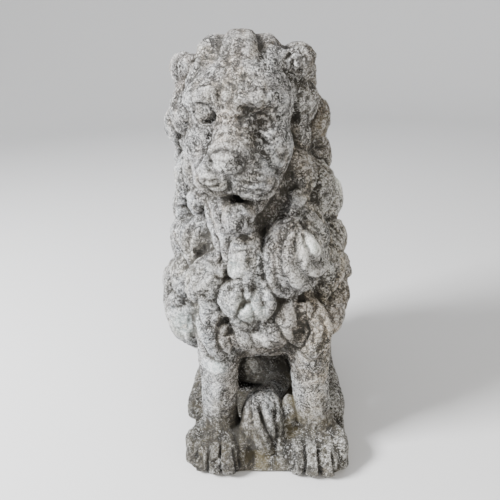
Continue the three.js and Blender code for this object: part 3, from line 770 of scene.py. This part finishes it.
def traces(piece):
    """Values from 0 to 1 at each vertex, for how it lies and what has stained it, and for where shade and
    highlight are painted.
    """
    mesh = piece.data
    edges = neighbours(piece)
    co = places(piece)
    away = outward(piece, edges, 1)
    inward = ((evened(co, edges, 3) - co) * away).sum(1) / MM
    broad = outward(piece, edges, 8)
    valley = ((evened(co, edges, 16) - co) * broad).sum(1) / MM
    tree = BVHTree.FromObject(piece, bpy.context.evaluated_depsgraph_get())
    rays = []
    for n in range(RAYS):
        z = 0.3 + 0.65 * ((n * 0.618) % 1)
        a = 2.4 * n
        r = math.sqrt(1 - z * z)
        rays.append((r * math.cos(a), r * math.sin(a), z))
    rays = np.array(rays)
    helper = np.where(np.abs(away[:, 2:]) < 0.9, [[0, 0, 1.0]], [[1.0, 0, 0]])
    one = np.cross(away, helper)
    one /= np.linalg.norm(one, axis=1, keepdims=True)
    two = np.cross(away, one)
    shut = np.zeros(len(co))
    start = co + away * 0.6 * MM
    for r in rays:
        heading = one * r[0] + two * r[1] + away * r[2]
        shut += [
            0 if hit[0] is None else 1 - hit[3] / LOOK
            for hit in (tree.ray_cast(Vector(s), Vector(d), LOOK) for s, d in zip(start, heading))
        ]
    # how sheltered each place is, from rays; sheltered places are darkened later as painted shade
    sheltered = step(0.02, 0.5, evened(shut[:, None] / len(rays), edges, 1)[:, 0])
    values = {
        "sheltered": sheltered,
        "hollow": step(0.03, 0.4, inward),
        "crease": step(0.4, 1.8, valley),
        "proud": step(0.08, 0.5, -inward) * (1 - sheltered),
        "crest": step(0.4, 2.2, -valley) * (1 - sheltered),
        "grime_and_shade": np.zeros(len(co)),
        "wear_and_highlight": np.zeros(len(co)),
        "algae": np.zeros(len(co)),
        "moss": np.zeros(len(co)),
    }
    for cut in cuts:
        near, gap, _ = near_line(co, cut["line"], cut["reach"] * 2.5)
        dark = cut["dark"] * np.exp(-((gap / cut["reach"]) ** 2))
        values["grime_and_shade"][near] = np.maximum(values["grime_and_shade"][near], dark)
    for stain in STAINS:
        d = np.linalg.norm(co - np.array(stain["at"]) * MM, axis=1) / (stain["wide"] * MM)
        left = stain.get("strong", 1) * np.exp(-(d**2))
        values[stain["kind"]] = np.maximum(values[stain["kind"]], left)
    for name, value in values.items():
        layer = mesh.attributes.new(name, "FLOAT", "POINT")
        layer.data.foreach_set("value", value.astype(np.float32))


traces(piece)


# Finish. Noises, by how many of their lumps go to a metre
NOISES = dict(
    cloud=dict(scale=7, detail=2),
    drift=dict(scale=15, warp=0.8),
    mottle=dict(scale=45, detail=4, rough=0.65, warp=0.6),
    crack=dict(scale=75, detail=2, rough=0.55, warp=2.2),
    etch=dict(scale=130, detail=1, rough=0.5, warp=3),
    fleck=dict(scale=150, detail=2, rough=0.5, warp=2.2),
    scab=dict(scale=180, detail=4, rough=0.75, warp=1.4),
    grit=dict(scale=480, detail=2, rough=0.7, warp=0.8),
)

# Shades of the crust, from black grime over grey to chalky white: where on the noise, how bright, how warm
CRUST = [(0.4, 0.02, 0.08), (0.44, 0.08, 0.04), (0.485, 0.2, 0.03), (0.54, 0.48, 0.02), (0.585, 1.0, 0.02)]

# Coats laid over the crust, with the share of each at its fullest. The coat of sheltered places is painted
# shade, those of hollows, creases and cut lines are painted shade with dirt, the pale coat of crests is
# painted highlight, and the worn coat is wear with a few painted highlights
COATS = dict(
    crest_highlight=(0.55, (0.66, 0.68, 0.7, 1)),
    algae=(0.8, (0.33, 0.4, 0.395, 1)),
    sheltered_shade=(0.6, (0.1, 0.086, 0.06, 1)),
    hollow=(0.85, (0.035, 0.031, 0.026, 1)),
    crease=(0.8, (0.05, 0.044, 0.032, 1)),
    rubbed=(0.7, (0.85, 0.845, 0.83, 1)),
    wear_and_highlight=(0.95, (0.95, 0.945, 0.93, 1)),
    grime_and_shade=(0.85, (0.03, 0.027, 0.022, 1)),
    white=(0.62, (1.0, 0.995, 0.98, 1)),
    lines=(0.85, (0.025, 0.023, 0.02, 1)),
    moss=(0.7, (0.15, 0.12, 0.05, 1)),
)
# brown of the dirt, and of the painted shade high on the own left side
DIRT_AND_SHADE = (0.13, 0.108, 0.066, 1)

# Thin washes, which multiply what lies under them
WASHES = dict(
    bluish=(0.93, 0.99, 1.06, 1),
    yellowish=(1.03, 0.99, 0.9, 1),
    pinkish=(1.04, 0.98, 0.96, 1),
    # warm painted shade over the own left side
    side=(1.08, 1.0, 0.85, 1),
    head=(0.85, 0.81, 0.78, 1),
    paws=(0.62, 0.62, 0.6, 1),
)

SMOOTHED_BY_ALGAE = 0.8
BUMP_DEPTH = 0.014


def cast_stone():
    """The weathered stone, coat over coat."""
    material = bpy.data.materials.new("cast_stone")
    material.use_nodes = True
    tree = material.node_tree
    tree.nodes.clear()

    def node(kind, **settings):
        made = tree.nodes.new(kind)
        for name, value in settings.items():
            setattr(made, name, value)
        return made

    def feed(socket, value):
        if isinstance(value, (int, float, tuple)):
            socket.default_value = value
        else:
            tree.links.new(value, socket)

    place = node("ShaderNodeTexCoord").outputs["Object"]

    def noise(scale, detail=3, rough=0.6, warp=0.0):
        made = node("ShaderNodeTexNoise")
        feed(made.inputs["Vector"], place)
        feed(made.inputs["Scale"], float(scale))
        feed(made.inputs["Detail"], float(detail))
        feed(made.inputs["Roughness"], rough)
        feed(made.inputs["Distortion"], warp)
        return made.outputs["Fac"]

    def trace(name):
        """A value that the casting keeps at its vertices."""
        return node("ShaderNodeAttribute", attribute_name=name).outputs["Fac"]

    def maths(kind, a, b=0.5):
        made = node("ShaderNodeMath", operation=kind)
        feed(made.inputs[0], a)
        feed(made.inputs[1], b)
        return made.outputs[0]

    def plus(a, b):
        return maths("ADD", a, b)

    def minus(a, b):
        return maths("SUBTRACT", a, b)

    def times(a, b):
        return maths("MULTIPLY", a, b)

    def most(a, b):
        return maths("MAXIMUM", a, b)

    def ridge(value):
        """Near 0 along thin wandering lines, where a noise crosses its middle."""
        return maths("ABSOLUTE", minus(value, 0.5))

    def band(value, start, stop):
        """Rises smoothly from 0 at `start` to 1 at `stop`."""
        made = node("ShaderNodeMapRange", interpolation_type="SMOOTHSTEP")
        feed(made.inputs["Value"], value)
        feed(made.inputs["From Min"], start)
        feed(made.inputs["From Max"], stop)
        return made.outputs["Result"]

    def mixed(share, under, over, blend="MIX"):
        made = node("ShaderNodeMix", data_type="RGBA", blend_type=blend)
        feed(made.inputs[0], share)
        feed(made.inputs[6], under)
        feed(made.inputs[7], over)
        return made.outputs[2]

    def coat(under, name, mask):
        share, over = COATS[name]
        return mixed(times(mask, share), under, over)

    def wash(under, name, share):
        return mixed(share, under, WASHES[name], "MULTIPLY")

    def grey(value, warmth):
        return (value * (1 + warmth), value, value * (1 - 2 * warmth), 1)

    noises = {name: noise(**settings) for name, settings in NOISES.items()}
    cloud, drift, mottle = noises["cloud"], noises["drift"], noises["mottle"]
    scab, fleck = noises["scab"], noises["fleck"]

    # crust of the stone, in specks and scabs
    crust = plus(times(noises["grit"], 0.5), times(scab, 0.5))
    crust = plus(crust, times(minus(mottle, 0.5), 0.1))
    crust = plus(crust, times(minus(cloud, 0.5), 0.14))
    ramp = node("ShaderNodeValToRGB")
    feed(ramp.inputs["Fac"], crust)
    stops = ramp.color_ramp.elements
    stops[0].position = CRUST[0][0]
    stops[1].position = CRUST[-1][0]
    stops[0].color = grey(*CRUST[0][1:])
    stops[1].color = grey(*CRUST[-1][1:])
    for position, value, warmth in CRUST[1:-1]:
        stops.new(position).color = grey(value, warmth)
    colour = ramp.outputs["Color"]

    # paler and cooler on the crests of the locks: painted highlight
    colour = coat(colour, "crest_highlight", times(trace("crest"), band(mottle, 0.4, 0.58)))

    # washes that drift over it
    colour = wash(colour, "bluish", band(drift, 0.48, 0.6))
    colour = wash(colour, "yellowish", band(drift, 0.52, 0.4))
    colour = wash(colour, "pinkish", band(cloud, 0.54, 0.4))

    # smooth bluish-green places
    colour = coat(colour, "algae", times(trace("algae"), band(mottle, 0.3, 0.5)))
    calm = minus(1.0, times(trace("algae"), SMOOTHED_BY_ALGAE))

    # brown dirt low down, browner low down behind, and brown painted shade high on the own left side of the
    # mane, away from the key lamp
    axes = node("ShaderNodeSeparateXYZ")
    feed(axes.inputs[0], place)
    x, y, z = (axes.outputs[name] for name in "XYZ")
    behind = times(band(y, -0.12, 0.02), band(z, 0.34, 0.14))
    feet = times(band(z, 0.11, 0.05), band(x, 0.4, -0.08))
    side = band(x, 0.02, 0.09)
    shaded_upper_side = times(side, band(z, 0.34, 0.44))
    dirt_and_shade = most(times(behind, 0.8), times(feet, 0.95))
    dirt_and_shade = most(dirt_and_shade, times(shaded_upper_side, 0.75))
    dirt_and_shade = times(times(dirt_and_shade, calm), band(mottle, 0.25, 0.6))
    # a warm tint over the own left side: painted shade
    colour = wash(colour, "side", side)
    colour = wash(colour, "head", band(z, 0.42, 0.5))
    colour = mixed(dirt_and_shade, colour, DIRT_AND_SHADE)

    # darker in sheltered places, as painted shade, and in hollows and in creases, as painted shade with dirt
    # gathered in them
    colour = coat(colour, "sheltered_shade", times(times(trace("sheltered"), calm), band(mottle, 0.2, 0.55)))
    colour = coat(colour, "hollow", times(trace("hollow"), band(scab, 0.36, 0.56)))
    colour = coat(colour, "crease", times(trace("crease"), band(scab, 0.25, 0.45)))

    # rubbed and worn white on what stands proud; the worn white at single places is in part painted
    # highlight
    colour = coat(colour, "rubbed", times(trace("proud"), band(crust, 0.47, 0.55)))
    colour = coat(colour, "wear_and_highlight", times(trace("wear_and_highlight"), band(crust, 0.43, 0.52)))

    # darker on the paws, where earth has splashed up
    colour = wash(colour, "paws", feet)

    # black where lines are cut and at a few single spots, as dirt and painted shade; and in flecks and thin
    # etched lines all over, but for the smooth places
    colour = coat(colour, "grime_and_shade", times(trace("grime_and_shade"), band(scab, 0.3, 0.46)))
    white = times(band(fleck, 0.56, 0.62), band(drift, 0.42, 0.6))
    colour = coat(colour, "white", times(white, calm))
    lines = times(band(ridge(noises["crack"]), 0.035, 0.01), band(mottle, 0.62, 0.42))
    lines = most(lines, times(band(ridge(noises["etch"]), 0.05, 0.015), band(scab, 0.58, 0.44)))
    lines = most(lines, times(band(fleck, 0.46, 0.405), band(mottle, 0.7, 0.4)))
    colour = coat(colour, "lines", times(lines, calm))

    # yellow-brown moss at the foot
    colour = coat(colour, "moss", times(trace("moss"), band(mottle, 0.36, 0.56)))

    bump = node("ShaderNodeBump")
    feed(bump.inputs["Strength"], plus(times(calm, 0.85), 0.1))
    feed(bump.inputs["Distance"], BUMP_DEPTH)
    feed(bump.inputs["Height"], minus(crust, times(lines, 0.1)))

    shader = node("ShaderNodeBsdfPrincipled")
    feed(shader.inputs["Base Color"], colour)
    feed(shader.inputs["Roughness"], band(scab, 1.6, -0.2))
    feed(shader.inputs["Normal"], bump.outputs["Normal"])
    out = node("ShaderNodeOutputMaterial")
    feed(out.inputs["Surface"], shader.outputs["BSDF"])
    return material


piece.data.materials.append(cast_stone())
only(piece)
bpy.ops.object.shade_smooth()
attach(piece, "root")
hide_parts("lion")


# Stage, in metres: a round floor that sweeps up into a wall all about
FLOOR_RADIUS = 2.6
FLOOR_SIDES = 96
SWEEP_RADIUS = 1.3
SWEEP_STEPS = 9
WALL_HEIGHT = 1.2
FLOOR_GREY = 0.57
SKY = (0.88, 0.89, 0.91, 1)
SKY_STRENGTH = 1.15
SOFTBOXES = [
    dict(name="key", at=(-1.6, -0.7, 1.5), size=0.6, power=190, colour=(0.985, 0.99, 1)),
    dict(name="fill", at=(1.1, -1.4, 0.9), size=1.2, power=20, colour=(1, 0.91, 0.76)),
]
AIM = 0.55


def pale_floor():
    """The floor, extruded ring by ring up the sweep."""
    bpy.ops.object.select_all(action="DESELECT")
    bpy.ops.mesh.primitive_circle_add(vertices=FLOOR_SIDES, radius=FLOOR_RADIUS, fill_type="NGON")
    floor = bpy.context.object
    floor.name = "floor"
    bpy.ops.object.mode_set(mode="EDIT")
    bpy.ops.mesh.select_all(action="SELECT")
    radius, level = FLOOR_RADIUS, 0.0
    for n in range(1, SWEEP_STEPS + 1):
        a = math.radians(90 / SWEEP_STEPS * n)
        rim = FLOOR_RADIUS + SWEEP_RADIUS * math.sin(a)
        top = SWEEP_RADIUS * (1 - math.cos(a))
        bpy.ops.mesh.extrude_region_move(TRANSFORM_OT_translate=dict(value=(0, 0, top - level)))
        bpy.ops.transform.resize(value=(rim / radius, rim / radius, 1), center_override=(0, 0, 0))
        radius, level = rim, top
    bpy.ops.mesh.extrude_region_move(TRANSFORM_OT_translate=dict(value=(0, 0, WALL_HEIGHT)))
    bpy.ops.mesh.delete(type="ONLY_FACE")
    bpy.ops.object.mode_set(mode="OBJECT")
    bpy.ops.object.shade_smooth()
    material = bpy.data.materials.new("pale_floor")
    material.use_nodes = True
    shader = material.node_tree.nodes["Principled BSDF"]
    shader.inputs["Base Color"].default_value = (FLOOR_GREY, FLOOR_GREY, FLOOR_GREY, 1)
    shader.inputs["Roughness"].default_value = 0.9
    floor.data.materials.append(material)


def sky():
    """Even light from all about."""
    world = bpy.data.worlds.new("studio")
    world.use_nodes = True
    light = world.node_tree.nodes["Background"]
    light.inputs["Color"].default_value = SKY
    light.inputs["Strength"].default_value = SKY_STRENGTH
    bpy.context.scene.world = world


def softbox(name, at, size, power, colour):
    """A square lamp, out of the camera's sight, aimed at the middle of the statue."""
    lamp = bpy.data.lights.new(name, "AREA")
    lamp.size = size
    lamp.energy = power
    lamp.color = colour
    holder = bpy.data.objects.new(name, lamp)
    bpy.context.scene.collection.objects.link(holder)
    holder.location = at
    holder.visible_camera = False
    aim = Vector((0, 0, height * AIM)) - Vector(at)
    holder.rotation_euler = aim.to_track_quat("-Z", "Y").to_euler()


# Camera at the photo's angle: its place, its pitch, yaw and roll in degrees, and its focal length in pixels
# of a picture 500 pixels wide
CAMERA_AT = (0.0192, -0.686, 0.6)
CAMERA_ANGLES = (24.877, -3.65, -2.239)
FOCAL_PIXELS = 501
PICTURE_PIXELS = 500
SENSOR = 36


def camera():
    """The camera, looking down at the statue."""
    pitch, yaw, roll = (math.radians(angle) for angle in CAMERA_ANGLES)
    level = math.cos(pitch)
    forward = Vector((math.sin(yaw) * level, math.cos(yaw) * level, -math.sin(pitch)))
    right = Vector((math.cos(yaw), -math.sin(yaw), 0))
    up = right.cross(forward)
    tilted_right = math.cos(roll) * right + math.sin(roll) * up
    tilted_up = math.cos(roll) * up - math.sin(roll) * right
    data = bpy.data.cameras.new("camera")
    data.sensor_width = SENSOR
    data.lens = SENSOR * FOCAL_PIXELS / PICTURE_PIXELS
    holder = bpy.data.objects.new("camera", data)
    bpy.context.scene.collection.objects.link(holder)
    turn = Matrix((tilted_right, tilted_up, -forward)).transposed()
    holder.matrix_world = Matrix.Translation(CAMERA_AT) @ turn.to_4x4()
    bpy.context.scene.camera = holder


pale_floor()
sky()
for box in SOFTBOXES:
    softbox(**box)
camera()
